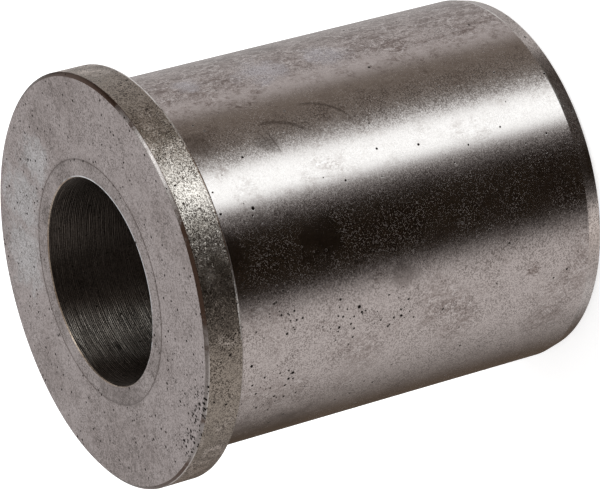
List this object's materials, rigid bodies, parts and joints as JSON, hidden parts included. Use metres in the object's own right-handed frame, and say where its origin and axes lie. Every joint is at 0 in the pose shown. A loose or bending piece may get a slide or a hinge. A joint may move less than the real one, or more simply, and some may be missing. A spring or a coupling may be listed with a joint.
{
  "type": "flanged bushing",
  "caption": "Plain round steel bushing with a thin flange at one end, a through bore and a lead-in taper, for pressing into a housing.",
  "frame": {"origin": "on the bore axis, in the plane of the flange's underside, which seats on the housing", "axes": "+Z along the bore axis, from the body towards the flanged head; X and Y are free, because the part is round"},
  "size_m": [0.056, 0.056, 0.0625],
  "materials": {
    "ground_steel": "ground and hardened, with faint stains, fine scratches and small pits"
  },
  "bodies": {
    "root": {"bushing": "ground_steel"}
  },
  "joints": []
}
